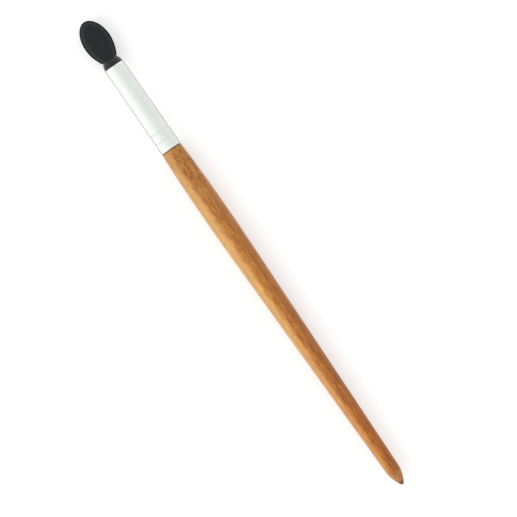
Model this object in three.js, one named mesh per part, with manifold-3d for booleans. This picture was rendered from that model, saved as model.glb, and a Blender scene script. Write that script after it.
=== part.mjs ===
// Sponge-tip make-up applicator: a turned wooden handle, a crimped aluminium ferrule, a moulded plastic
// tip holder and a foam tip made of two leaves welded together round the rim.
//
// Millimetres, +Z up. The applicator lies on a table with its long axis along X and the sponge at the +X
// end. The origin is on the table, under the middle of its length.

import * as THREE from 'three';
import { mergeVertices } from 'three/addons/utils/BufferGeometryUtils.js';
import Module from 'manifold-3d';

const wasm = await Module();
wasm.setup();

// Handle: lengths run back from the shoulder that meets the ferrule
const HANDLE_LENGTH = 123.4;
const SHOULDER_DIAMETER = 6.7;
const SHOULDER_ROUND = 0.15;
const BELLY_DIAMETER = 7.7;
const BELLY_SETBACK = 21;
const BELLY_LAND = 9;
const TAPER_BEND = 1;
const TAIL_DIAMETER = 4.5;
const POINT_LENGTH = 5.65;
const POINT_BLUNTNESS = 0.85;
const POINT_SWELL = 1.8;
const TENON_CHAMFER = 0.6;

// Ferrule: crimp distances run forward from the edge that meets the handle
const FERRULE_LENGTH = 30.5;
const FERRULE_BASE_DIAMETER = 6.85;
const FERRULE_MOUTH_DIAMETER = 6.5;
const FERRULE_WALL = 0.35;
const LIP_ROUND = 0.12;
const CRIMP_DISTANCES = [3.3, 6.2];
const CRIMP_WIDTH = 0.9;
const CRIMP_DEPTH = 0.2;

// Tip holder: barbed plug, domed collar and flat paddle
const PLUG_LENGTH = 8;
const PILOT_LENGTH = 1.2;
const BARB_COUNT = 3;
const BARB_PITCH = 2.1;
const BARB_RAMP = 1.5;
const BARB_HEIGHT = 0.35;
const COLLAR_HEIGHT = 2.1;
const COLLAR_BASE_DIAMETER = 6.3;
const COLLAR_TOP_DIAMETER = 4.9;
const COLLAR_SPRING = 1;
const PADDLE_LENGTH = 9.6;
const PADDLE_WIDTH = 3.4;
const PADDLE_THICKNESS = 1.3;
const PADDLE_EDGE = 0.3;

// Foam tip: nose and skirt are the lengths ahead of and behind its widest line
const SPONGE_WIDTH = 8.8;
const SPONGE_NOSE = 7.25;
const SPONGE_SKIRT = 6.45;
const SPONGE_MOUTH = 5.3;
const SPONGE_THICKNESS = 5;
const NOSE_TAPER = 0.05;
const RIM_WIDTH = 0.45;
const RIM_THICKNESS = 0.6;
const CROWN_ROUND = 1.9;
const CROWN_LEAN = 0.35;

// Adhesive
const GLUE_LINE = 0.3;
const GLUE_SETBACK = 1;
const SLUG_LENGTH = 3.5;
const SLUG_HOLLOW = 0.6;
const AIR_GAP = 5;

// Clearances
const SEAT_GAP = 0.1;
const BOND_GAP = 0.05;
const POCKET_GAP = 0.15;

// Fineness of the facets
const SIDES = 32;
const SPONGE_SIDES = 48;
const FINE_STEPS = 5;
const COARSE_STEPS = 3;
const BEVEL_STEPS = 2;

// Stations along the axis, from the handle's shoulder towards the sponge
const ferruleBase = SEAT_GAP;
const ferruleMouth = ferruleBase + FERRULE_LENGTH;
const plugEnd = ferruleMouth - PLUG_LENGTH;
const collarBase = ferruleMouth + SEAT_GAP;
const collarTop = collarBase + COLLAR_HEIGHT;
const paddleTip = collarTop + PADDLE_LENGTH;
const spongeMouth = collarTop + SEAT_GAP;
const spongeWidest = spongeMouth + SPONGE_SKIRT;
const slugFront = plugEnd - BOND_GAP;
const slugBack = slugFront - SLUG_LENGTH;
const tenonEnd = slugBack - AIR_GAP;

// Radius of the ferrule's outer skin, which tapers towards the mouth
function skinRadius(station) {
  const share = (station - ferruleBase) / FERRULE_LENGTH;
  return THREE.MathUtils.lerp(FERRULE_BASE_DIAMETER, FERRULE_MOUTH_DIAMETER, share) / 2;
}

// Continues a profile along the ferrule, a given depth under its skin, dipping at each crimp on the way
function drawCrimpedWall(profile, from, to, depth) {
  const edge = (Math.sign(to - from) * CRIMP_WIDTH) / 2;
  const wall = (station) => skinRadius(station) - depth;
  const crimps = CRIMP_DISTANCES.map((distance) => ferruleBase + distance);
  crimps.sort((one, other) => (one - other) * edge);
  for (const crimp of crimps) {
    const start = crimp - edge;
    const end = crimp + edge;
    const valley = wall(crimp) - CRIMP_DEPTH;
    profile.lineTo(wall(start), start);
    profile.bezierCurveTo(wall(start), start + edge / 2, valley, crimp - edge / 2, valley, crimp);
    profile.bezierCurveTo(valley, crimp + edge / 2, wall(end), end - edge / 2, wall(end), end);
  }
  profile.lineTo(wall(to), to);
}

// Revolves a profile of radius against station about the long axis
function revolve(profile, steps) {
  const geometry = new THREE.LatheGeometry(profile.getPoints(steps), SIDES);
  return geometry.rotateZ(-Math.PI / 2);
}

// Extrudes an outline in the XY plane to a thickness that is centred on that plane
function slab(outline, thickness, edge) {
  const geometry = new THREE.ExtrudeGeometry(outline, {
    depth: thickness - 2 * edge,
    bevelEnabled: edge > 0,
    bevelThickness: edge,
    bevelSize: edge,
    bevelOffset: -edge,
    bevelSegments: BEVEL_STEPS,
    curveSegments: FINE_STEPS,
  });
  return geometry.translate(0, 0, edge - thickness / 2);
}

function solidFrom(geometry) {
  geometry.deleteAttribute('normal');
  geometry.deleteAttribute('uv');
  const merged = mergeVertices(geometry);
  const vertProperties = merged.attributes.position.array;
  const triVerts = new Uint32Array(merged.index.array);
  return new wasm.Manifold(new wasm.Mesh({ numProp: 3, vertProperties, triVerts }));
}

function geometryFrom(solid) {
  const { vertProperties, triVerts } = solid.getMesh();
  const geometry = new THREE.BufferGeometry();
  geometry.setAttribute('position', new THREE.BufferAttribute(vertProperties, 3));
  geometry.setIndex(new THREE.BufferAttribute(triVerts, 1));
  geometry.computeVertexNormals();
  return geometry;
}

// Handle: pointed tail, long taper, belly, shoulder and the tenon that the crimps bite into
function makeHandle() {
  const shoulderRadius = SHOULDER_DIAMETER / 2;
  const bellyRadius = BELLY_DIAMETER / 2;
  const tailRadius = TAIL_DIAMETER / 2;
  const pointStart = POINT_LENGTH - HANDLE_LENGTH;
  const swell = pointStart - POINT_SWELL;
  const landBack = -BELLY_SETBACK - BELLY_LAND;
  const bend = landBack - TAPER_BEND;
  const taperTop = bend - TAPER_BEND;
  const taperShare = (taperTop - pointStart) / (bend - pointStart);
  const profile = new THREE.Path();
  profile.moveTo(0, -HANDLE_LENGTH);
  profile.bezierCurveTo(POINT_BLUNTNESS, -HANDLE_LENGTH, tailRadius, swell, tailRadius, pointStart);
  profile.lineTo(THREE.MathUtils.lerp(tailRadius, bellyRadius, taperShare), taperTop);
  profile.quadraticCurveTo(bellyRadius, bend, bellyRadius, landBack);
  profile.lineTo(bellyRadius, -BELLY_SETBACK);
  profile.quadraticCurveTo(bellyRadius, -BELLY_SETBACK / 2, shoulderRadius, -SHOULDER_ROUND);
  profile.quadraticCurveTo(shoulderRadius, 0, shoulderRadius - SHOULDER_ROUND, 0);
  const tenonDepth = FERRULE_WALL + GLUE_LINE;
  profile.lineTo(skinRadius(0) - tenonDepth, 0);
  drawCrimpedWall(profile, 0, tenonEnd - TENON_CHAMFER, tenonDepth);
  profile.lineTo(skinRadius(tenonEnd) - tenonDepth - TENON_CHAMFER, tenonEnd);
  profile.lineTo(0, tenonEnd);
  return revolve(profile, FINE_STEPS);
}

// Ferrule: tapered tube with a rounded lip and two rolled crimps
function makeFerrule() {
  const mouthRadius = skinRadius(ferruleMouth);
  const profile = new THREE.Path();
  profile.moveTo(skinRadius(ferruleBase), ferruleBase);
  drawCrimpedWall(profile, ferruleBase, ferruleMouth - LIP_ROUND, 0);
  profile.quadraticCurveTo(mouthRadius, ferruleMouth, mouthRadius - LIP_ROUND, ferruleMouth);
  profile.lineTo(mouthRadius - FERRULE_WALL, ferruleMouth);
  drawCrimpedWall(profile, ferruleMouth, ferruleBase, FERRULE_WALL);
  profile.closePath();
  return revolve(profile, COARSE_STEPS);
}

// Adhesive sleeve between the tenon and the ferrule
function makeHandleGlue() {
  const back = ferruleBase + GLUE_SETBACK;
  const front = tenonEnd - TENON_CHAMFER;
  const outerDepth = FERRULE_WALL + BOND_GAP;
  const innerDepth = FERRULE_WALL + GLUE_LINE - BOND_GAP;
  const profile = new THREE.Path();
  profile.moveTo(skinRadius(back) - outerDepth, back);
  drawCrimpedWall(profile, back, front, outerDepth);
  profile.lineTo(skinRadius(front) - innerDepth, front);
  drawCrimpedWall(profile, front, back, innerDepth);
  profile.closePath();
  return revolve(profile, COARSE_STEPS);
}

// Adhesive slug behind the plug: the bore narrows ahead of it, and its back face sank as it cured
function makeHolderGlue() {
  const depth = FERRULE_WALL + BOND_GAP;
  const backRadius = skinRadius(slugBack) - depth;
  const profile = new THREE.Path();
  profile.moveTo(0, slugBack + SLUG_HOLLOW);
  profile.quadraticCurveTo(backRadius / 2, slugBack + SLUG_HOLLOW, backRadius, slugBack);
  profile.lineTo(skinRadius(slugFront) - depth, slugFront);
  profile.lineTo(0, slugFront);
  return revolve(profile, COARSE_STEPS);
}

// Plan of the paddle, grown all round by a clearance where the sponge's pocket needs one
function paddleOutline(growth) {
  const halfWidth = PADDLE_WIDTH / 2 + growth;
  const roundCentre = paddleTip - PADDLE_WIDTH / 2;
  const outline = new THREE.Shape();
  outline.moveTo(collarBase, halfWidth);
  outline.lineTo(collarBase, -halfWidth);
  outline.lineTo(roundCentre, -halfWidth);
  outline.absarc(roundCentre, 0, halfWidth, -Math.PI / 2, Math.PI / 2);
  outline.closePath();
  return outline;
}

// Tip holder: a barbed plug and a domed collar turned in one, with the paddle standing on the collar
function makeTipHolder() {
  const fitRadius = skinRadius(ferruleMouth) - FERRULE_WALL - BOND_GAP;
  const coreRadius = fitRadius - BARB_HEIGHT;
  const baseRadius = COLLAR_BASE_DIAMETER / 2;
  const topRadius = COLLAR_TOP_DIAMETER / 2;
  const pilot = ferruleMouth - PILOT_LENGTH;
  const profile = new THREE.Path();
  profile.moveTo(0, plugEnd);
  for (let barb = 0; barb < BARB_COUNT; barb += 1) {
    const ramp = plugEnd + barb * BARB_PITCH;
    profile.lineTo(coreRadius, ramp);
    profile.lineTo(fitRadius, ramp + BARB_RAMP);
    profile.lineTo(coreRadius, ramp + BARB_RAMP);
  }
  profile.lineTo(coreRadius, pilot);
  profile.lineTo(fitRadius, pilot);
  profile.lineTo(fitRadius, collarBase);
  profile.lineTo(baseRadius, collarBase);
  profile.quadraticCurveTo(baseRadius, collarBase + COLLAR_SPRING, topRadius, collarTop);
  profile.lineTo(0, collarTop);
  const turned = solidFrom(revolve(profile, FINE_STEPS));
  const paddle = solidFrom(slab(paddleOutline(0), PADDLE_THICKNESS, PADDLE_EDGE));
  return geometryFrom(turned.add(paddle));
}

// Point of the sponge's egg outline: a half ellipse ahead of the widest line, drawn in a little towards its
// end, and a parabola behind it
function eggPoint(angle) {
  const along = Math.cos(angle);
  const across = Math.sin(angle);
  const half = SPONGE_WIDTH / 2;
  if (along > 0) {
    return new THREE.Vector2(SPONGE_NOSE * along, half * across * (1 - NOSE_TAPER * along ** 4));
  }
  const skirtReach = SPONGE_SKIRT / Math.sqrt(1 - SPONGE_MOUTH / SPONGE_WIDTH);
  return new THREE.Vector2(skirtReach * along, half * across * Math.abs(across));
}

// Pulls a round pad out to the egg outline, keeping each point's distance in from the rim
function stretchToEgg(geometry) {
  const position = geometry.attributes.position;
  for (let index = 0; index < position.count; index += 1) {
    const x = position.getX(index);
    const y = position.getY(index);
    const inset = SPONGE_WIDTH / 2 - Math.hypot(x, y);
    if (inset < SPONGE_WIDTH / 2) {
      const point = eggPoint(Math.atan2(y, x));
      point.setLength(point.length() - inset);
      position.setXY(index, point.x, point.y);
    }
  }
  return geometry;
}

// One foam leaf: flat working face, rounded shoulder and thin welded rim, cut off at the mouth and
// hollowed for the paddle
function makeSpongeLeaf() {
  const radius = SPONGE_WIDTH / 2;
  const height = SPONGE_THICKNESS / 2;
  const rim = RIM_THICKNESS / 2;
  const foot = radius - RIM_WIDTH;
  const crown = foot - CROWN_ROUND;
  const middle = (rim + height) / 2;
  const profile = new THREE.Path();
  profile.moveTo(0, 0);
  profile.lineTo(radius, 0);
  profile.lineTo(radius, rim);
  profile.lineTo(foot, rim);
  profile.bezierCurveTo(foot - CROWN_LEAN, middle, (foot + crown) / 2, height, crown, height);
  profile.lineTo(0, height);
  const round = new THREE.LatheGeometry(profile.getPoints(FINE_STEPS), SPONGE_SIDES).rotateX(Math.PI / 2);
  const leaf = solidFrom(stretchToEgg(round));
  const block = new THREE.BoxGeometry(2 * SPONGE_SKIRT, 2 * SPONGE_WIDTH, 2 * SPONGE_THICKNESS);
  const waste = solidFrom(block.translate(-2 * SPONGE_SKIRT, 0, 0));
  const thickness = PADDLE_THICKNESS + 2 * POCKET_GAP;
  const pocket = solidFrom(slab(paddleOutline(POCKET_GAP), thickness, 0).translate(-spongeWidest, 0, 0));
  return geometryFrom(leaf.subtract(waste).subtract(pocket));
}

const lacqueredWood = new THREE.MeshStandardMaterial({ color: 0xb97a42, roughness: 0.4, metalness: 0 });
const aluminium = new THREE.MeshStandardMaterial({ color: 0xe6ebe6, roughness: 0.35, metalness: 1 });
const blackPlastic = new THREE.MeshStandardMaterial({ color: 0x1e1f20, roughness: 0.25, metalness: 0 });
const blackFoam = new THREE.MeshStandardMaterial({ color: 0x2d2f30, roughness: 0.95, metalness: 0 });
const curedGlue = new THREE.MeshStandardMaterial({ color: 0xd8c9a2, roughness: 0.3, metalness: 0 });

const applicator = new THREE.Group();

function addPiece(name, geometry, material) {
  const piece = new THREE.Mesh(geometry, material);
  piece.name = name;
  applicator.add(piece);
  return piece;
}

addPiece('handle', makeHandle(), lacqueredWood);
addPiece('ferrule', makeFerrule(), aluminium);
addPiece('handle_glue', makeHandleGlue(), curedGlue);
addPiece('holder_glue', makeHolderGlue(), curedGlue);
addPiece('tip_holder', makeTipHolder(), blackPlastic);
addPiece('sponge_front', makeSpongeLeaf(), blackFoam).position.x = spongeWidest;
addPiece('sponge_back', makeSpongeLeaf().rotateX(Math.PI), blackFoam).position.x = spongeWidest;

// Laid on the table, centred over the origin
const extent = new THREE.Box3().setFromObject(applicator);
applicator.position.set(-(extent.min.x + extent.max.x) / 2, 0, -extent.min.z);

export default applicator;
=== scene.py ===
"""Looks of a sponge-tip make-up applicator: lacquered wood, satin aluminium, glossy plastic and foam.

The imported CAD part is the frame. Pieces are built in millimetres about the applicator's axis, and each
finished mesh is then put in its place in metres. The applicator lies along X with its sponge at the +X
end, and the camera looks straight down.
"""

import math

import bmesh
import bpy
from mathutils import Color, Matrix, Vector


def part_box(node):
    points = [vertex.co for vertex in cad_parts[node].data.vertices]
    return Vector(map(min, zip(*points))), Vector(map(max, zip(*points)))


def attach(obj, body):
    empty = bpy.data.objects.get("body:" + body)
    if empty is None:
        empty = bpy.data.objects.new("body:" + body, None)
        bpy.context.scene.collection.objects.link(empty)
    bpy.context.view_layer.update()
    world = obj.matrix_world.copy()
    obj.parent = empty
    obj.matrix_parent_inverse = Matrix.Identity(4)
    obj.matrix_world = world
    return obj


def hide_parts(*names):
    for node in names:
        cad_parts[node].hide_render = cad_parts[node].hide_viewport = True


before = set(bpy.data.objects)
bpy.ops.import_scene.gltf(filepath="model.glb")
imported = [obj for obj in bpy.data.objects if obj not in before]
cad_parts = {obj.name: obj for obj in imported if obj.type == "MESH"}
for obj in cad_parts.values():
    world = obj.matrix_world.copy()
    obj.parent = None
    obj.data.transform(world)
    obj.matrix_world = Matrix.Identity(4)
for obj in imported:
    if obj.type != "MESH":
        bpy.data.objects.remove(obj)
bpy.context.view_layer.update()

MM = 0.001

# Handle
SHOULDER_DIAMETER = 6.7
SHOULDER_ROUND = 0.15
BELLY_SETBACK = 21
BELLY_LAND = 9
TAPER_BEND = 1
TAIL_DIAMETER = 4.5
POINT_LENGTH = 5.65
POINT_BLUNTNESS = 0.85
POINT_SWELL = 1.8
TENON_CHAMFER = 0.6

# Ferrule
FERRULE_MOUTH_DIAMETER = 6.5
FERRULE_WALL = 0.35
GLUE_LINE = 0.3
LIP_ROUND = 0.3
CRIMP_DISTANCES = (3.3, 6.2)
CRIMP_WIDTH = 0.9
CRIMP_DEPTH = 0.2

# Tip holder
PLUG_LENGTH = 8
PILOT_LENGTH = 1.2
BARB_COUNT = 3
BARB_PITCH = 2.1
BARB_RAMP = 1.5
BARB_HEIGHT = 0.35
COLLAR_HEIGHT = 2.1
COLLAR_TOP_DIAMETER = 4.9
COLLAR_SPRING = 1
PADDLE_WIDTH = 3.4
PADDLE_THICKNESS = 1.3
PADDLE_EDGE = 0.3

# Foam tip
SPONGE_NOSE = 7.25
SPONGE_MOUTH = 5.3
NOSE_TAPER = 0.05
NOSE_TAPER_POWER = 4
RIM_WIDTH = 0.45
RIM_THICKNESS = 0.6
RIM_ROUND = 0.12
CROWN_ROUND = 1.9
CROWN_LEAN = 0.35

# Clearances
SEAT_GAP = 0.1
BOND_GAP = 0.05
POCKET_GAP = 0.15

# Fineness of the meshes
SIDES = 96
SPONGE_SIDES = 160
CURVE_STEPS = 10
EDGE_STEPS = 4
ROUND_PROFILE = 0.5
LONGEST_FACE = 4
SHARP_ANGLE = 40


def box_in_mm(node):
    low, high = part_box(node)
    return low / MM, high / MM


handle_low, handle_high = box_in_mm("handle")
ferrule_low, ferrule_high = box_in_mm("ferrule")
holder_low, holder_high = box_in_mm("tip_holder")
foam_low, foam_high = box_in_mm("sponge_front")

# Places along the axis, in the frame's x
axis_height = (ferrule_low.z + ferrule_high.z) / 2
tail_end = handle_low.x
tenon_end = handle_high.x
ferrule_base = ferrule_low.x
ferrule_mouth = ferrule_high.x
shoulder = ferrule_base - SEAT_GAP
collar_base = ferrule_mouth + SEAT_GAP
collar_top = collar_base + COLLAR_HEIGHT
paddle_tip = holder_high.x
sponge_mouth = foam_low.x
sponge_widest = foam_high.x - SPONGE_NOSE


def new_object(name, data):
    """An object in the scene that holds a mesh, a light or a camera."""
    item = bpy.data.objects.new(name, data)
    bpy.context.scene.collection.objects.link(item)
    return item


def new_mesh(name, builder):
    """A mesh of what was built, which ends the building."""
    mesh = bpy.data.meshes.new(name)
    builder.to_mesh(mesh)
    builder.free()
    return mesh


def new_piece(name, builder):
    """An object of what was built, still in millimetres about the axis, with its faces pointing out."""
    bmesh.ops.recalc_face_normals(builder, faces=builder.faces)
    return new_object(name, new_mesh(name, builder))


def combine(piece, tool, operation):
    """Adds another mesh to a piece, or cuts it out, and removes that mesh."""
    modifier = piece.modifiers.new(operation, "BOOLEAN")
    modifier.operation = operation
    modifier.object = tool
    modifier.solver = "EXACT"
    graph = bpy.context.evaluated_depsgraph_get()
    piece.data = bpy.data.meshes.new_from_object(piece.evaluated_get(graph))
    piece.modifiers.clear()
    bpy.data.objects.remove(tool)


def settle(piece):
    """Puts a piece's mesh in its place in metres, shaded smooth between its sharp edges."""
    mesh = piece.data
    mesh.transform(Matrix.Scale(MM, 4) @ Matrix.Translation((0, 0, axis_height)))
    mesh.shade_smooth()
    mesh.set_sharp_from_angle(angle=math.radians(SHARP_ANGLE))
    return piece


def bezier(*points):
    """Points along a Bezier curve, after the first one."""
    order = len(points) - 1
    path = []
    for step in range(1, CURVE_STEPS + 1):
        share = step / CURVE_STEPS
        place = Vector((0, 0))
        for k, point in enumerate(points):
            place += math.comb(order, k) * share**k * (1 - share) ** (order - k) * Vector(point)
        path.append(place)
    return path


def neighbours(items, closed):
    """Pairs of items that follow each other, and in a closed row also the last with the first."""
    pairs = list(zip(items, items[1:] + items[:1]))
    return pairs if closed else pairs[:-1]


def bridge(builder, ring, following):
    """Joins two rings of vertices with faces. At a pole, a ring of one, these are triangles."""
    for side in range(max(len(ring), len(following))):
        after = side + 1
        corners = [ring[side % len(ring)], ring[after % len(ring)]]
        corners += [following[after % len(following)], following[side % len(following)]]
        builder.faces.new(list(dict.fromkeys(corners)))


def lathe(name, profile, closed=False):
    """Revolves a profile of (x, radius) about the applicator's axis, in faces of limited length."""
    path = []
    for start, end in neighbours(profile, closed):
        count = max(1, math.ceil((end - start).length / LONGEST_FACE))
        path += [start.lerp(end, step / count) for step in range(count)]
    if not closed:
        path.append(profile[-1])
    builder = bmesh.new()
    rings = []
    for x, radius in path:
        count = SIDES if radius > 0 else 1
        ring = []
        for side in range(count):
            angle = 2 * math.pi * side / count
            ring.append(builder.verts.new((x, radius * math.sin(angle), radius * math.cos(angle))))
        rings.append(ring)
    for ring, following in neighbours(rings, closed):
        bridge(builder, ring, following)
    return new_piece(name, builder)


def skin_radius(x):
    """Radius of the ferrule's outer skin, which tapers towards the mouth."""
    base = (ferrule_high.z - ferrule_low.z) / 2
    share = (x - ferrule_base) / (ferrule_mouth - ferrule_base)
    return base + (FERRULE_MOUTH_DIAMETER / 2 - base) * share


def crimped_wall(start, end, depth):
    """Profile along the ferrule, a depth under its skin, that dips at each crimp on the way."""
    edge = math.copysign(CRIMP_WIDTH / 2, end - start)
    lead = Vector((edge / 2, 0))
    path = [Vector((start, skin_radius(start) - depth))]
    crimps = [ferrule_base + distance for distance in CRIMP_DISTANCES]
    for crimp in sorted(crimps, reverse=start > end):
        before = Vector((crimp - edge, skin_radius(crimp - edge) - depth))
        after = Vector((crimp + edge, skin_radius(crimp + edge) - depth))
        valley = Vector((crimp, skin_radius(crimp) - depth - CRIMP_DEPTH))
        path.append(before)
        path += bezier(before, before + lead, valley - lead, valley)
        path += bezier(valley, valley + lead, after - lead, after)
    path.append(Vector((end, skin_radius(end) - depth)))
    return path


def make_handle():
    """The turned handle: a point, a long taper, a belly, a shoulder and the tenon inside the ferrule."""
    belly = (handle_high.z - handle_low.z) / 2
    tail = TAIL_DIAMETER / 2
    rim = SHOULDER_DIAMETER / 2
    round_start = shoulder - SHOULDER_ROUND
    point_start = tail_end + POINT_LENGTH
    swell = point_start - POINT_SWELL
    land_front = shoulder - BELLY_SETBACK
    land_back = land_front - BELLY_LAND
    bend = land_back - TAPER_BEND
    taper_top = bend - TAPER_BEND
    taper_radius = tail + (belly - tail) * (taper_top - point_start) / (bend - point_start)
    depth = FERRULE_WALL + GLUE_LINE
    profile = [Vector((tail_end, 0))]
    profile += bezier((tail_end, 0), (tail_end, POINT_BLUNTNESS), (swell, tail), (point_start, tail))
    profile.append(Vector((taper_top, taper_radius)))
    profile += bezier((taper_top, taper_radius), (bend, belly), (land_back, belly))
    profile.append(Vector((land_front, belly)))
    profile += bezier((land_front, belly), (shoulder - BELLY_SETBACK / 2, belly), (round_start, rim))
    profile += bezier((round_start, rim), (shoulder, rim), (shoulder, rim - SHOULDER_ROUND))
    profile += crimped_wall(shoulder, tenon_end - TENON_CHAMFER, depth)
    profile.append(Vector((tenon_end, skin_radius(tenon_end) - depth - TENON_CHAMFER)))
    profile.append(Vector((tenon_end, 0)))
    return settle(lathe("turned_handle", profile))


def make_ferrule():
    """The drawn tube with its two crimps and its rounded lip."""
    mouth = FERRULE_MOUTH_DIAMETER / 2
    profile = crimped_wall(ferrule_base, ferrule_mouth - LIP_ROUND, 0)
    profile += bezier(profile[-1], (ferrule_mouth, mouth), (ferrule_mouth, mouth - LIP_ROUND))
    profile.append(Vector((ferrule_mouth, mouth - FERRULE_WALL)))
    profile += crimped_wall(ferrule_mouth, ferrule_base, FERRULE_WALL)[1:]
    return settle(lathe("drawn_ferrule", profile, closed=True))


def paddle_slab(name, gap=0, edge=0):
    """The paddle, or the hollow that takes it with a gap all round: a slab with a round end."""
    half = PADDLE_WIDTH / 2 + gap
    thickness = PADDLE_THICKNESS + 2 * gap
    centre = paddle_tip - PADDLE_WIDTH / 2
    root = collar_base + COLLAR_HEIGHT / 2
    outline = [(root, half), (root, -half)]
    for step in range(SIDES + 1):
        turn = math.pi * (step / SIDES - 0.5)
        outline.append((centre + half * math.cos(turn), half * math.sin(turn)))
    builder = bmesh.new()
    bottom = builder.faces.new([builder.verts.new((x, y, -thickness / 2)) for x, y in outline])
    raised = bmesh.ops.extrude_face_region(builder, geom=[bottom])["geom"]
    top = [item for item in raised if isinstance(item, bmesh.types.BMVert)]
    bmesh.ops.translate(builder, verts=top, vec=(0, 0, thickness))
    if edge:
        rims = [item for item in builder.edges if item.verts[0].co.z == item.verts[1].co.z]
        rounding = {"offset": edge, "segments": EDGE_STEPS, "profile": ROUND_PROFILE}
        bmesh.ops.bevel(builder, geom=rims, affect="EDGES", **rounding)
    return new_piece(name, builder)


def make_tip_holder():
    """The moulded holder: a barbed plug, a domed collar and the paddle."""
    fit = FERRULE_MOUTH_DIAMETER / 2 - FERRULE_WALL - BOND_GAP
    core = fit - BARB_HEIGHT
    base = (holder_high.z - holder_low.z) / 2
    top = COLLAR_TOP_DIAMETER / 2
    plug_end = ferrule_mouth - PLUG_LENGTH
    pilot = ferrule_mouth - PILOT_LENGTH
    corners = [(plug_end, 0)]
    for barb in range(BARB_COUNT):
        ramp_start = plug_end + barb * BARB_PITCH
        ramp_end = ramp_start + BARB_RAMP
        corners += [(ramp_start, core), (ramp_end, fit), (ramp_end, core)]
    corners += [(pilot, core), (pilot, fit), (collar_base, fit), (collar_base, base)]
    profile = [Vector(corner) for corner in corners]
    profile += bezier((collar_base, base), (collar_base + COLLAR_SPRING, base), (collar_top, top))
    profile.append(Vector((collar_top, 0)))
    holder = lathe("moulded_holder", profile)
    combine(holder, paddle_slab("paddle", edge=PADDLE_EDGE), "UNION")
    return settle(holder)


def egg_point(angle):
    """The sponge's outline: half an ellipse ahead of its widest line and a parabola behind it."""
    width = foam_high.y - foam_low.y
    along = math.cos(angle)
    across = math.sin(angle)
    if along > 0:
        taper = 1 - NOSE_TAPER * along**NOSE_TAPER_POWER
        return Vector((SPONGE_NOSE * along, width / 2 * across * taper))
    skirt = (sponge_widest - sponge_mouth) / math.sqrt(1 - SPONGE_MOUTH / width)
    return Vector((skirt * along, width / 2 * across * abs(across)))


def foam_profile():
    """A leaf's rim and crown, as insets from its outline and heights over the weld."""
    height = foam_high.z - foam_low.z
    rim = RIM_THICKNESS / 2
    profile = [Vector((RIM_ROUND, 0))]
    profile += bezier((RIM_ROUND, 0), (0, 0), (0, RIM_ROUND))
    profile += bezier((0, rim - RIM_ROUND), (0, rim), (RIM_ROUND, rim))
    profile.append(Vector((RIM_WIDTH, rim)))
    profile += bezier(
        (RIM_WIDTH, rim),
        (RIM_WIDTH + CROWN_LEAN, (rim + height) / 2),
        (RIM_WIDTH + CROWN_ROUND / 2, height),
        (RIM_WIDTH + CROWN_ROUND, height),
    )
    return profile


def saw_off(builder, x):
    """Cuts away what lies behind a place on the axis, and closes the cut."""
    whole = builder.verts[:] + builder.edges[:] + builder.faces[:]
    plane = {"plane_co": (x, 0, 0), "plane_no": (-1, 0, 0)}
    cut = bmesh.ops.bisect_plane(builder, geom=whole, clear_outer=True, **plane)["geom_cut"]
    edges = [item for item in cut if isinstance(item, bmesh.types.BMEdge)]
    bmesh.ops.contextual_create(builder, geom=edges)


def make_foam_leaf(name, side):
    """One leaf of the tip: a flat face, a soft crown, a thin welded rim and a hollow for the paddle."""
    outline = [egg_point(2 * math.pi * step / SPONGE_SIDES) for step in range(SPONGE_SIDES)]
    builder = bmesh.new()
    rings = []
    for inset, level in foam_profile():
        ring = []
        for point in outline:
            x, y = point * (1 - inset / point.length)
            ring.append(builder.verts.new((sponge_widest + x, y, side * level)))
        rings.append(ring)
    for ring, following in neighbours(rings, closed=False):
        bridge(builder, ring, following)
    builder.faces.new(rings[0])
    builder.faces.new(rings[-1])
    saw_off(builder, sponge_mouth)
    leaf = new_piece(name, builder)
    combine(leaf, paddle_slab("pocket", gap=POCKET_GAP), "DIFFERENCE")
    return settle(leaf)


def connect(tree, node, inputs):
    """Sets a shader node's inputs. Each is a value, or the socket that it is linked from."""
    for name, value in inputs.items():
        if isinstance(value, bpy.types.NodeSocket):
            tree.links.new(value, node.inputs[name])
        else:
            node.inputs[name].default_value = value


def add(tree, kind, inputs, **settings):
    """Adds a shader node."""
    node = tree.nodes.new("ShaderNode" + kind)
    for name, value in settings.items():
        setattr(node, name, value)
    connect(tree, node, inputs)
    return node


def colour(red, green, blue):
    """A colour as it looks on screen, from 0 to 255, as linear light."""
    screen = Color((red / 255, green / 255, blue / 255))
    return [*screen.from_srgb_to_scene_linear(), 1]


def grey(level):
    return [level, level, level, 1]


def calculate(tree, operation, first, second):
    return add(tree, "Math", {0: first, 1: second}, operation=operation).outputs["Value"]


def product(tree, first, *others):
    for other in others:
        first = calculate(tree, "MULTIPLY", first, other)
    return first


def vectors(tree, operation, first, second):
    return add(tree, "VectorMath", {0: first, 1: second}, operation=operation).outputs["Vector"]


def scaled(tree, vector, scale):
    return add(tree, "Mapping", {"Vector": vector, "Scale": scale}).outputs["Vector"]


def span(tree, value, start, end, low=0.0, high=1.0):
    """Runs smoothly from low to high as a value runs from start to end."""
    inputs = {"Value": value, "From Min": start, "From Max": end, "To Min": low, "To Max": high}
    return add(tree, "MapRange", inputs, interpolation_type="SMOOTHSTEP").outputs["Result"]


def ramp(tree, value, stops):
    """Maps a value through colours at given positions."""
    node = add(tree, "ValToRGB", {"Fac": value})
    elements = node.color_ramp.elements
    while len(elements) < len(stops):
        elements.new(1)
    for element, (position, tint) in zip(elements, stops):
        element.position = position
        element.color = tint
    return node.outputs["Color"]


# Sockets of the Mix node for colours, where three kinds of input share each name
MIX_SHARE = 0
MIX_FIRST = 6
MIX_SECOND = 7
MIX_RESULT = 2


def mix(tree, share, first, second, blend="MIX"):
    inputs = {MIX_SHARE: share, MIX_FIRST: first, MIX_SECOND: second}
    return add(tree, "Mix", inputs, data_type="RGBA", blend_type=blend).outputs[MIX_RESULT]


# Values that a noise mostly keeps between, and the one that it varies about
NOISE_LOW = 0.3
NOISE_HIGH = 0.7
NOISE_MIDDLE = 0.5


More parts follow.
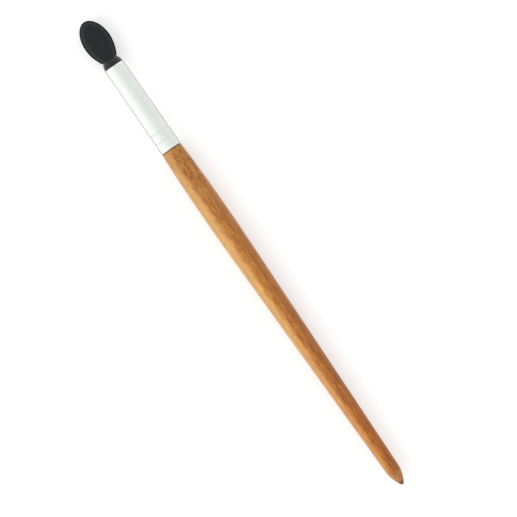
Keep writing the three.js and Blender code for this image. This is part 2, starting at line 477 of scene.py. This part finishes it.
def noise(tree, vector, per_mm, detail, roughness):
    """Noise with a number of features per millimetre."""
    inputs = {"Vector": vector, "Scale": per_mm, "Detail": detail, "Roughness": roughness}
    return add(tree, "TexNoise", inputs).outputs["Fac"]


def drawn_noise(tree, vector, along, across, detail, roughness):
    """Noise drawn out along the axis, with numbers of features per millimetre along and across it."""
    return noise(tree, scaled(tree, vector, [along, across, across]), 1, detail, roughness)


def noise_span(tree, value, low, high):
    """Runs from low to high with a noise."""
    return span(tree, value, NOISE_LOW, NOISE_HIGH, low, high)


def noise_ramp(tree, value, first, second):
    """Runs from the first colour to the second with a noise."""
    return ramp(tree, value, [(NOISE_LOW, first), (NOISE_HIGH, second)])


def cells(tree, vector, per_mm):
    """Distance from the middles of scattered cells, with a number of cells per millimetre."""
    return add(tree, "TexVoronoi", {"Vector": vector, "Scale": per_mm}).outputs["Distance"]


def bump(tree, height, depth):
    """Normals of a relief with a depth in millimetres."""
    return add(tree, "Bump", {"Height": height, "Distance": depth * MM}).outputs["Normal"]


def new_material(name):
    material = bpy.data.materials.new(name)
    material.use_nodes = True
    return material, material.node_tree


def start_material(name):
    """A material, its Principled shader, and coordinates in millimetres that ride with the piece."""
    material, tree = new_material(name)
    place = add(tree, "TexCoord", {}).outputs["Object"]
    return material, tree, tree.nodes["Principled BSDF"], scaled(tree, place, [1 / MM] * 3)


# Wood: its colours from dark to pale grain, and its tone from the tail to the shoulder
GRAIN_COLOURS = (
    (0.37, colour(150, 80, 38)),
    (0.47, colour(184, 108, 51)),
    (0.54, colour(203, 130, 65)),
    (0.62, colour(220, 152, 83)),
)
TONE_COLOURS = (
    (0, colour(255, 220, 186)),
    (0.4, colour(250, 236, 218)),
    (0.75, colour(255, 252, 232)),
    (1, colour(248, 252, 255)),
)

# Wood: what the grain's figure and relief are made of, and how far the grain sways
STREAKS_SHARE = 0.3
FIBRES_SHARE = 0.3
MOTTLE_SHARE = 0.4
FIBRES_RELIEF = 0.4
SWAYS_PER_MM = 0.03
SWAY_WIDTH = 4

# Wood: tints, with their starts and ends along x and across y, and their shares at both
# Partly heartwood colour and partly painted shade: the -Y side, away from the softbox, is darker and
# redder
HEARTWOOD_AND_SHADE = {
    "tint": colour(132, 50, 8),
    "along": (30, -10, 0.1, 0.55),
    "across": (0.8, -2.6, 0, 1),
}
# Partly sapwood colour and partly a painted highlight: the +Y side, towards the softbox, is paler and
# yellower
SAPWOOD_AND_HIGHLIGHT = {
    "tint": colour(230, 184, 118),
    "along": (38, 18, 0.22, 0.5),
    "across": (0.4, 3, 0, 1),
}
# The flecks thin out on the +Y side, towards the softbox: painted light, as if the highlight hid them
FLECKS = {
    "tint": colour(126, 42, 0),
    "along": (14, 31, 0.2, 1),
    "across": (2.4, 0.8, 0.3, 1),
}
LINES = {
    "tint": colour(118, 36, 4),
    "along": (-5, -55, 0.25, 0.8),
    "across": (1.6, -0.2, 0.35, 1),
}

# Wood: a painted highlight on the point, painted shade at the very tip and the dark line at the
# shoulder, by distances from those ends
POINT_HIGHLIGHT = colour(172, 116, 84)
POINT_SHARE = 0.6
TIP_SHADE = colour(66, 20, 34)
TIP_START = 1.9
TIP_FULL = 0.5
JOINT_DARK = colour(58, 26, 26)
JOINT_START = 0.4
JOINT_FULL = 0.18
DARKENING_SHARE = 0.85


def swaying(tree, place):
    """Coordinates in which the grain sways a little from side to side."""
    drift = add(tree, "TexNoise", {"Vector": place, "Scale": SWAYS_PER_MM}).outputs["Color"]
    centred = vectors(tree, "SUBTRACT", drift, [NOISE_MIDDLE] * 3)
    sway = vectors(tree, "MULTIPLY", centred, [0, SWAY_WIDTH, SWAY_WIDTH])
    return vectors(tree, "ADD", place, sway)


def tinted(tree, body, axes, tint, along, across, patterns=()):
    """The wood's colour with a tint in patterns, whose share changes along and across the handle."""
    share = product(tree, span(tree, axes["X"], *along), span(tree, axes["Y"], *across), *patterns)
    return mix(tree, share, body, tint)


def toned_ends(tree, body, along):
    """The wood's colour with a painted highlight on its point, painted shade at its tip and a dark line
    at the shoulder.
    """
    point_start = tail_end + POINT_LENGTH
    # A painted highlight on the point's cone
    point = span(tree, along, point_start, point_start - POINT_LENGTH / 2, high=POINT_SHARE)
    body = mix(tree, point, body, POINT_HIGHLIGHT)
    # Painted shade at the very end of the point
    tip = span(tree, along, tail_end + TIP_START, tail_end + TIP_FULL, high=DARKENING_SHARE)
    body = mix(tree, tip, body, TIP_SHADE)
    joint = span(tree, along, shoulder - JOINT_START, shoulder - JOINT_FULL, high=DARKENING_SHARE)
    return mix(tree, joint, body, JOINT_DARK)


def wood_material():
    """Brown wood under satin lacquer: soft streaks, fine fibres, clustered flecks and darker lines."""
    material, tree, shader, place = start_material("lacquered_wood")
    axes = add(tree, "SeparateXYZ", {"Vector": place}).outputs
    along = axes["X"]
    grain = swaying(tree, place)

    streaks = drawn_noise(tree, grain, along=0.03, across=0.8, detail=4, roughness=0.55)
    fibres = drawn_noise(tree, grain, along=0.3, across=6, detail=3, roughness=0.6)
    mottle = drawn_noise(tree, grain, along=0.35, across=0.9, detail=3, roughness=0.6)
    figure = product(tree, streaks, STREAKS_SHARE)
    figure = calculate(tree, "ADD", figure, product(tree, fibres, FIBRES_SHARE))
    figure = calculate(tree, "ADD", figure, product(tree, mottle, MOTTLE_SHARE))
    body = ramp(tree, figure, GRAIN_COLOURS)
    tone = ramp(tree, span(tree, along, tail_end, shoulder), TONE_COLOURS)
    body = mix(tree, 1, body, tone, "MULTIPLY")
    # Painted shade on the -Y side and a painted highlight on the +Y side, partly heartwood and sapwood
    body = tinted(tree, body, axes, **HEARTWOOD_AND_SHADE)
    body = tinted(tree, body, axes, **SAPWOOD_AND_HIGHLIGHT)

    flecks = drawn_noise(tree, grain, along=0.6, across=2.6, detail=6, roughness=0.7)
    flecks = span(tree, flecks, start=0.5, end=0.57)
    clusters = drawn_noise(tree, grain, along=0.2, across=0.5, detail=3, roughness=0.5)
    clusters = span(tree, clusters, start=0.43, end=0.56)
    body = tinted(tree, body, axes, **FLECKS, patterns=[flecks, clusters])

    lines = drawn_noise(tree, grain, along=0.04, across=2.2, detail=3, roughness=0.6)
    lines = span(tree, lines, start=0.53, end=0.58)
    body = tinted(tree, body, axes, **LINES, patterns=[lines])

    relief = calculate(tree, "SUBTRACT", product(tree, fibres, FIBRES_RELIEF), flecks)
    connect(tree, shader, {
        "Base Color": toned_ends(tree, body, along),
        "Roughness": noise_span(tree, fibres, low=0.5, high=0.4),
        "Specular IOR Level": 1,
        "Specular Tint": colour(255, 235, 140),
        "Coat Weight": 0.3,
        "Coat Roughness": 0.22,
        "Coat IOR": 1.5,
        "Normal": bump(tree, relief, depth=0.012),
    })
    return material


# Aluminium: the smoother lip, and the share of roughness left there and at glancing angles
BURNISH_FADE = 0.15
BURNISHED_SHARE = 0.3
GLANCING_SHARE = 0.5


def aluminium_material():
    """Satin drawn aluminium: fine lines along the tube, a faint cloudiness and a burnished lip."""
    material, tree, shader, place = start_material("satin_aluminium")
    lines = drawn_noise(tree, place, along=0.2, across=9, detail=3, roughness=0.6)
    clouds = noise(tree, place, per_mm=0.35, detail=3, roughness=0.5)
    along = add(tree, "SeparateXYZ", {"Vector": place}).outputs["X"]
    lip = ferrule_mouth - LIP_ROUND
    burnish = span(tree, along, lip - BURNISH_FADE, lip, low=1, high=BURNISHED_SHARE)
    facing = add(tree, "LayerWeight", {}).outputs["Facing"]
    glancing = span(tree, facing, start=0.35, end=0.7, low=1, high=GLANCING_SHARE)
    satin = noise_span(tree, lines, low=0.74, high=0.8)
    connect(tree, shader, {
        "Base Color": noise_ramp(tree, clouds, colour(243, 246, 242), colour(247, 250, 246)),
        "Metallic": 1,
        "Roughness": product(tree, satin, burnish, glancing),
        "Specular Tint": grey(0.05),
        "Normal": bump(tree, lines, depth=0.002),
    })
    return material


def plastic_material():
    """Glossy black moulded plastic with a faint ripple."""
    material, tree, shader, place = start_material("black_plastic")
    ripple = noise(tree, place, per_mm=0.9, detail=2, roughness=0.5)
    connect(tree, shader, {
        "Base Color": noise_ramp(tree, ripple, colour(14, 14, 15), colour(18, 18, 19)),
        "Roughness": noise_span(tree, ripple, low=0.12, high=0.18),
        "Normal": bump(tree, ripple, depth=0.02),
    })
    return material


# Foam: painted shade in its pores, and a darker weld that is partly the seam and partly painted shade
# along the edge, by the heights between which that sets in
PORE_SHADE = colour(22, 23, 24)
PORE_SHARE = 0.5
WELD_DARK_AND_SHADE = colour(14, 15, 16)
WELD_HEIGHTS = (RIM_THICKNESS, RIM_THICKNESS / 3)
WELD_DARK_AND_SHADE_SHARE = 0.8


def foam_material():
    """Fine black foam: small open pores with painted shade in them, a soft sheen, slight unevenness of
    colour and a darker weld, partly seam and partly painted shade.
    """
    material, tree, shader, place = start_material("black_foam")
    pores = span(tree, cells(tree, place, per_mm=7), start=0.05, end=0.5, low=0.2)
    pits = span(tree, cells(tree, place, per_mm=3), start=0.12, end=0.3)
    surface = product(tree, pores, pits)
    clouds = noise(tree, place, per_mm=0.5, detail=3, roughness=0.55)
    body = noise_ramp(tree, clouds, colour(34, 36, 37), colour(40, 42, 43))
    holes = calculate(tree, "SUBTRACT", 1, surface)
    # Painted shade in the pores
    body = mix(tree, product(tree, holes, PORE_SHARE), body, PORE_SHADE)
    height = add(tree, "SeparateXYZ", {"Vector": place}).outputs["Z"]
    lift = calculate(tree, "ABSOLUTE", calculate(tree, "SUBTRACT", height, axis_height), 0)
    # Darker towards the weld: partly the sealed seam and partly painted shade along the sponge's edge
    weld = span(tree, lift, *WELD_HEIGHTS, high=WELD_DARK_AND_SHADE_SHARE)
    connect(tree, shader, {
        "Base Color": mix(tree, weld, body, WELD_DARK_AND_SHADE),
        "Roughness": 0.92,
        "Specular IOR Level": 0.25,
        "Sheen Weight": 0.08,
        "Sheen Roughness": 0.45,
        "Normal": bump(tree, surface, depth=0.04),
    })
    return material


def glue_material():
    """Cured amber adhesive with small bubbles."""
    material, tree, shader, place = start_material("cured_glue")
    bubbles = span(tree, cells(tree, place, per_mm=1.6), start=0.1, end=0.3)
    connect(tree, shader, {
        "Base Color": ramp(tree, bubbles, [(0, colour(232, 220, 186)), (1, colour(216, 201, 162))]),
        "Roughness": 0.25,
        "Normal": bump(tree, bubbles, depth=0.02),
    })
    return material


def dress(piece, body, material, node):
    """Gives a piece its material and body, and has it stand for its CAD node."""
    piece.data.materials.clear()
    piece.data.materials.append(material)
    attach(piece, body)
    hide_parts(node)


# Stage, in metres: a white floor that keeps the shadow, a softbox on the +Y side and a white surround
FLOOR_SIZE = 6
FLOOR_WHITE = 0.72
FLOOR_GLOW = 0.42
CEILING_EDGE = 0.4
CEILING_MIDDLE = 0.95
CEILING_SHARE = 0.7
SOFTBOX_DISTANCE = 1
SOFTBOX_ELEVATION = 35
SOFTBOX_WIDTH = 0.36
SOFTBOX_HEIGHT = 1
SOFTBOX_RADIANCE = 2.5


def seen_rays(tree):
    """One for rays from the camera, or that a mirror or glass sends on, and nought for the rest."""
    path = add(tree, "LightPath", {}).outputs
    share = calculate(tree, "MAXIMUM", path["Is Camera Ray"], path["Is Glossy Ray"])
    return calculate(tree, "MAXIMUM", share, path["Is Transmission Ray"])


def floor_material():
    """Matt white that glows a little to the eye, so that the floor is white around the shadow."""
    material, tree = new_material("white_floor")
    tree.nodes.remove(tree.nodes["Principled BSDF"])
    matt = add(tree, "BsdfDiffuse", {"Color": grey(FLOOR_WHITE)}).outputs["BSDF"]
    level = product(tree, seen_rays(tree), FLOOR_GLOW)
    glow = add(tree, "Emission", {"Strength": level}).outputs["Emission"]
    both = add(tree, "AddShader", {0: matt, 1: glow}).outputs["Shader"]
    connect(tree, tree.nodes["Material Output"], {"Surface": both})
    return material


def make_floor():
    builder = bmesh.new()
    bmesh.ops.create_grid(builder, x_segments=1, y_segments=1, size=FLOOR_SIZE / 2)
    floor = new_object("floor", new_mesh("floor", builder))
    floor.data.materials.append(floor_material())


def make_surround():
    """A white world with a dimmer ceiling, whose edge and middle are heights on a ball of radius one."""
    world = bpy.data.worlds.new("surround")
    world.use_nodes = True
    tree = world.node_tree
    direction = add(tree, "TexCoord", {}).outputs["Generated"]
    height = add(tree, "SeparateXYZ", {"Vector": direction}).outputs["Z"]
    level = span(tree, height, CEILING_EDGE, CEILING_MIDDLE, low=1, high=CEILING_SHARE)
    connect(tree, tree.nodes["Background"], {"Color": grey(1), "Strength": level})
    bpy.context.scene.world = world


def place_softbox():
    light = bpy.data.lights.new("softbox", "AREA")
    light.shape = "RECTANGLE"
    light.size = SOFTBOX_WIDTH
    light.size_y = SOFTBOX_HEIGHT
    light.energy = SOFTBOX_RADIANCE * math.pi * SOFTBOX_WIDTH * SOFTBOX_HEIGHT
    softbox = new_object("softbox", light)
    elevation = math.radians(SOFTBOX_ELEVATION)
    softbox.location = Vector((0, math.cos(elevation), math.sin(elevation))) * SOFTBOX_DISTANCE
    softbox.rotation_euler = (elevation - math.pi / 2, 0, 0)


# Camera: a long lens straight above, turned so that the sponge points to the picture's upper left
PICTURE_WIDTH = 156.5
PICTURE_CENTRE = (-3.87, -2.87)
PICTURE_TURN = -124.65
LENS = 400
SENSOR = 36


def place_camera():
    data = bpy.data.cameras.new("camera")
    data.lens = LENS
    data.sensor_width = SENSOR
    camera = new_object("camera", data)
    distance = PICTURE_WIDTH * LENS / SENSOR
    camera.location = Vector((*PICTURE_CENTRE, axis_height + distance)) * MM
    camera.rotation_euler = (0, 0, math.radians(PICTURE_TURN))
    bpy.context.scene.camera = camera


dress(make_handle(), "applicator", wood_material(), "handle")
dress(make_ferrule(), "applicator", aluminium_material(), "ferrule")
dress(make_tip_holder(), "applicator", plastic_material(), "tip_holder")

foam = foam_material()
for leaf, side, node in (("foam_front", 1, "sponge_front"), ("foam_back", -1, "sponge_back")):
    foam_leaf = make_foam_leaf(leaf, side)
    dress(foam_leaf, "sponge_tip", foam, node)

glue = glue_material()
for hidden in ("handle_glue", "holder_glue"):
    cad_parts[hidden].material_slots[0].material = glue

make_floor()
make_surround()
place_softbox()
place_camera()
bpy.context.scene.view_settings.view_transform = "Standard"
